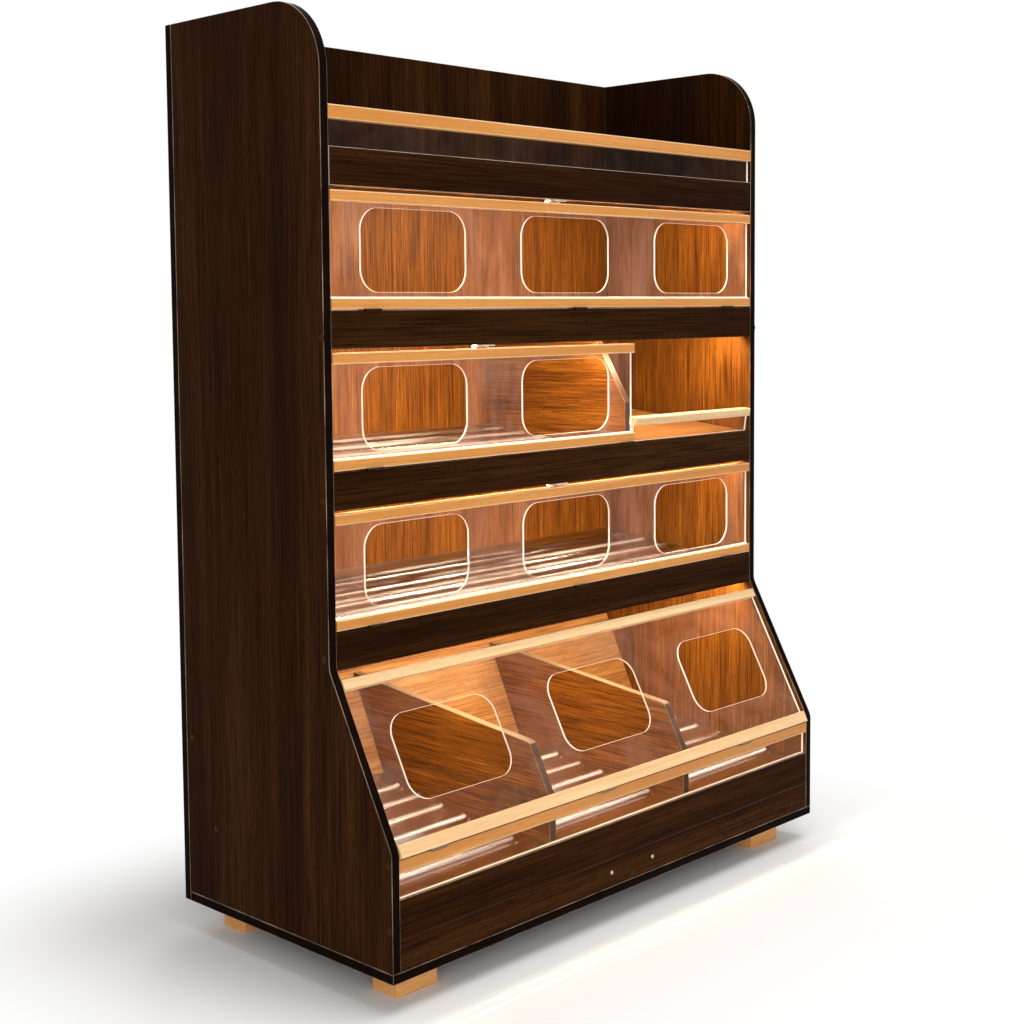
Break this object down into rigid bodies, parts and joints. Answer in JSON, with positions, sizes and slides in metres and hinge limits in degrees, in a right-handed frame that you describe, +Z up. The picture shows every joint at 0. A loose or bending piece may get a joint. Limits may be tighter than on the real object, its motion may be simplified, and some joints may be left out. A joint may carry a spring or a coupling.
{
  "type": "bakery bread rack",
  "caption": "Free-standing lit bakery bread rack in dark board, with sloped tiers behind clear hinged flaps with hand holes, slanted bins below and an open trough on top.",
  "frame": {"origin": "middle of the rack's footprint on the floor", "axes": "+Z up, front with the flaps towards -Y, +X to the viewer's right"},
  "size_m": [1.3, 0.6232, 1.78],
  "materials": {
    "dark_board": "dark wenge melamine board, satin, fine open grain",
    "inside_board": "walnut melamine board, satin, warm under the lamps",
    "light_wood": "clear-lacquered beech",
    "clear_acrylic": "clear acrylic sheet with polished edges",
    "clear_tray": "clear formed plastic, ribbed",
    "light_channel": "anodised extrusion",
    "light_cover": "milky diffuser, warm white when lit",
    "catch": "moulded white catch",
    "driver_case": "moulded grey case"
  },
  "bodies": {
    "cabinet": {"left_side_panel": "dark_board", "right_side_panel": "dark_board", "back_panel": "dark_board", "base_board": "dark_board", "foot_front_left": "light_wood", "foot_front_right": "light_wood", "foot_rear_left": "light_wood", "foot_rear_right": "light_wood", "plinth_lower_board": "dark_board", "plinth_upper_board": "dark_board", "valance_1": "dark_board", "valance_2": "dark_board", "valance_3": "dark_board", "valance_4": "dark_board", "top_shelf": "inside_board", "tier_1_floor": "inside_board", "tier_2_floor": "inside_board", "tier_3_floor": "inside_board", "bin_floor": "inside_board", "bin_back_board": "inside_board", "bin_divider_left": "inside_board", "bin_divider_right": "inside_board", "tier_2_divider": "inside_board", "open_section_floor": "inside_board", "trough_fence_pane": "clear_acrylic", "trough_fence_strip": "light_wood", "open_section_fence_pane": "clear_acrylic", "open_section_fence_strip": "light_wood", "bin_rail": "light_wood", "bin_window": "clear_acrylic", "tier_1_tray": "clear_tray", "tier_2_tray": "clear_tray", "tier_3_tray": "clear_tray", "bin_tray_left": "clear_tray", "bin_tray_middle": "clear_tray", "bin_tray_right": "clear_tray", "light_channel_1": "light_channel", "light_channel_2": "light_channel", "light_channel_3": "light_channel", "light_channel_4": "light_channel", "light_cover_1": "light_cover", "light_cover_2": "light_cover", "light_cover_3": "light_cover", "light_cover_4": "light_cover", "tier_1_catch": "catch", "tier_2_catch": "catch", "tier_3_catch": "catch", "lamp_driver": "driver_case"},
    "tier_1_flap": {"tier_1_flap_pane": "clear_acrylic", "tier_1_flap_top_strip": "light_wood", "tier_1_flap_bottom_strip": "light_wood"},
    "tier_2_flap": {"tier_2_flap_pane": "clear_acrylic", "tier_2_flap_top_strip": "light_wood", "tier_2_flap_bottom_strip": "light_wood"},
    "tier_3_flap": {"tier_3_flap_pane": "clear_acrylic", "tier_3_flap_top_strip": "light_wood", "tier_3_flap_bottom_strip": "light_wood"},
    "bin_flap": {"bin_flap_pane": "clear_acrylic", "bin_flap_top_strip": "light_wood", "bin_flap_bottom_strip": "light_wood"}
  },
  "joints": [
    {"name": "tier_1_flap_hinge", "type": "hinge", "parent": "cabinet", "child": "tier_1_flap", "pos_m": [0, -0.1513, 1.2312], "axis": [1, 0, 0], "range_deg": [0, 170]},
    {"name": "tier_2_flap_hinge", "type": "hinge", "parent": "cabinet", "child": "tier_2_flap", "pos_m": [0, -0.1513, 0.9432], "axis": [1, 0, 0], "range_deg": [0, 170]},
    {"name": "tier_3_flap_hinge", "type": "hinge", "parent": "cabinet", "child": "tier_3_flap", "pos_m": [0, -0.1513, 0.6552], "axis": [1, 0, 0], "range_deg": [0, 145]},
    {"name": "bin_flap_hinge", "type": "hinge", "parent": "cabinet", "child": "bin_flap", "pos_m": [0, -0.309, 0.2775], "axis": [1, 0, 0], "range_deg": [0, 120]}
  ]
}
